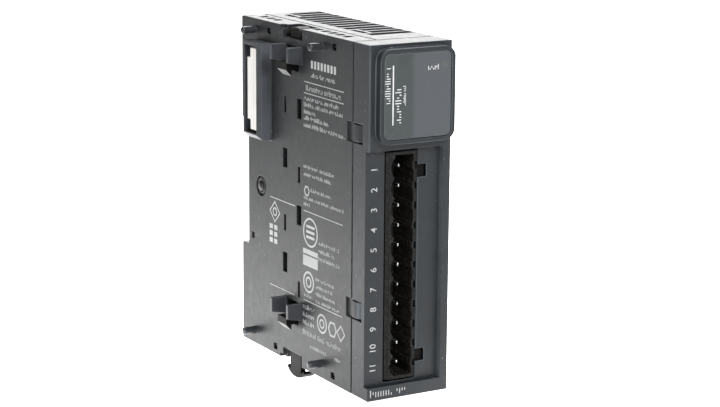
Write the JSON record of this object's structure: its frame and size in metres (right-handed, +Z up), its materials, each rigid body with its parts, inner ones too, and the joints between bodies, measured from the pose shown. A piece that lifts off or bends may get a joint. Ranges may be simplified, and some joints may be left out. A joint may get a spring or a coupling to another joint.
{
  "type": "plc expansion module",
  "caption": "Slim DIN-rail control module with a terminal pin header, side bus connectors, sliding neighbour locks and a rail clip.",
  "frame": {"origin": "centre of the seat face that rests on the rail, half way across the width and half way up", "axes": "+Y out of the seat towards the rail, so the front faces -Y; +Z up; +X to the right seen from the front"},
  "size_m": [0.0278, 0.0707, 0.0941],
  "materials": {
    "housing_plastic": "fine spark texture, charcoal grey",
    "bezel_plastic": "fine spark texture, dark blue-grey",
    "window_gloss": "smooth tinted cover plate",
    "clear_acrylic": "clear moulded light guide",
    "header_plastic": "brown-black glass-filled nylon",
    "lock_plastic": "brown-black acetal, slightly shiny",
    "clip_plastic": "dark acetal with a green cast",
    "connector_white": "white nylon connector body",
    "tin_plate": "tin-plated copper alloy",
    "circuit_board": "green solder mask on glass epoxy",
    "chip_epoxy": "black moulding compound",
    "ferrite": "sintered ferrite",
    "winding_tape": "yellow polyester tape over copper",
    "capacitor_can": "sleeved aluminium can",
    "led_resin": "diffused clear resin"
  },
  "bodies": {
    "housing": {"left_cover": "housing_plastic", "right_case": "housing_plastic", "case_rivet": "housing_plastic", "front_bezel": "bezel_plastic", "label_window": "window_gloss", "light_pipe": "clear_acrylic", "terminal_header": "header_plastic", "board_link": "header_plastic", "bus_plug": "connector_white", "bus_socket": "connector_white", "main_board": "circuit_board", "output_board": "circuit_board", "transformer_core": "ferrite", "choke": "ferrite", "transformer_winding": "winding_tape", "capacitor_1": "capacitor_can", "capacitor_2": "capacitor_can", "converter_chip": "chip_epoxy", "bus_controller_chip": "chip_epoxy", "output_driver_chip": "chip_epoxy", "isolator_1": "chip_epoxy", "isolator_2": "chip_epoxy", "isolator_3": "chip_epoxy", "status_led": "led_resin", "terminal_pin_1": "tin_plate", "terminal_pin_2": "tin_plate", "terminal_pin_3": "tin_plate", "terminal_pin_4": "tin_plate", "terminal_pin_5": "tin_plate", "terminal_pin_6": "tin_plate", "terminal_pin_7": "tin_plate", "terminal_pin_8": "tin_plate", "terminal_pin_9": "tin_plate", "terminal_pin_10": "tin_plate", "terminal_pin_11": "tin_plate"},
    "top_lock_body": {"top_lock": "lock_plastic"},
    "bottom_lock_body": {"bottom_lock": "lock_plastic"},
    "din_clip_body": {"din_clip": "clip_plastic"}
  },
  "joints": [
    {"name": "top_lock_slide", "type": "slide", "parent": "housing", "child": "top_lock_body", "axis": [0, 0, 1], "range_m": [0, 0.0036]},
    {"name": "bottom_lock_slide", "type": "slide", "parent": "housing", "child": "bottom_lock_body", "axis": [0, 0, 1], "range_m": [0, 0.0036]},
    {"name": "din_clip_slide", "type": "slide", "parent": "housing", "child": "din_clip_body", "axis": [0, 0, -1], "range_m": [0, 0.0085]}
  ]
}
